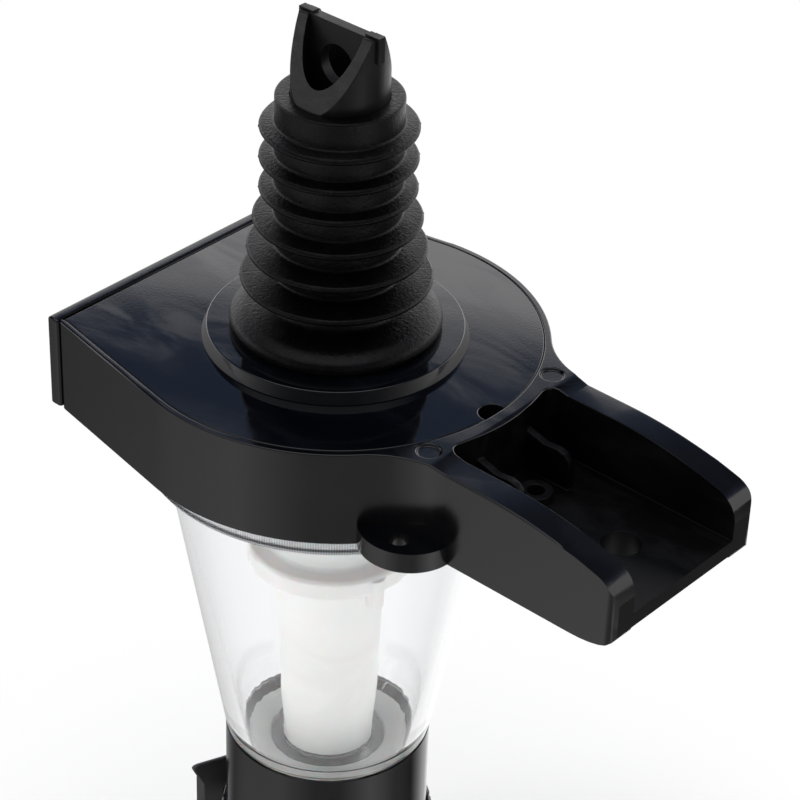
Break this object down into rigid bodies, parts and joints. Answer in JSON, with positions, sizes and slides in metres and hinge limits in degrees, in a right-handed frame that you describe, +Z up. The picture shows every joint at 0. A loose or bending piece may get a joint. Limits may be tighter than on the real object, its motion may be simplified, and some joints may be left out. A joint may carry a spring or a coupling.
{
  "type": "liquor optic dispenser",
  "caption": "Spirit measure: ribbed bottle stopper, black head with a wall bracket, clear measuring chamber and a valve that a push bar lifts.",
  "frame": {"origin": "centre of the bracket's screw hole, on the upper face of the channel floor", "axes": "+Z up, along the stopper and the valve's travel; -Y towards the front plate and the push bar's levers; +Y out of the open end of the bracket channel; +X to the side"},
  "size_m": [0.06, 0.0926, 0.1695],
  "materials": {
    "black_plastic": "glossy black moulding",
    "stopper_rubber": "matte black rubber",
    "seal_rubber": "seal rubber",
    "badge_panel": "bare glossy panel",
    "clear_plastic": "clear moulded plastic",
    "white_plastic": "translucent white plastic",
    "spring_steel": "bright spring steel",
    "label_film": "glossy black film, bare"
  },
  "bodies": {
    "head": {"stopper": "stopper_rubber", "inlet_tube": "black_plastic", "flow_divider": "black_plastic", "inlet_o_ring": "seal_rubber", "top_cover": "black_plastic", "housing": "black_plastic", "front_plate": "black_plastic", "badge_blank": "badge_panel", "vent_valve": "seal_rubber", "chamber_gasket": "seal_rubber", "chamber": "clear_plastic", "spring_washer": "spring_steel", "label_band": "label_film", "outlet_o_ring": "seal_rubber", "base_body": "white_plastic", "guide_bush": "white_plastic", "base_nut": "black_plastic"},
    "valve": {"valve_cup": "white_plastic", "valve_o_ring": "seal_rubber", "return_spring": "spring_steel", "valve_tube": "white_plastic", "push_bar": "black_plastic", "retaining_clips": "spring_steel", "nozzle_tip": "black_plastic"}
  },
  "joints": [
    {"name": "valve_lift", "type": "slide", "parent": "head", "child": "valve", "axis": [0, 0, 1], "range_m": [0, 0.008], "stiffness_N_per_m": 500, "springref_m": -0.006, "deforming": ["return_spring"]}
  ]
}
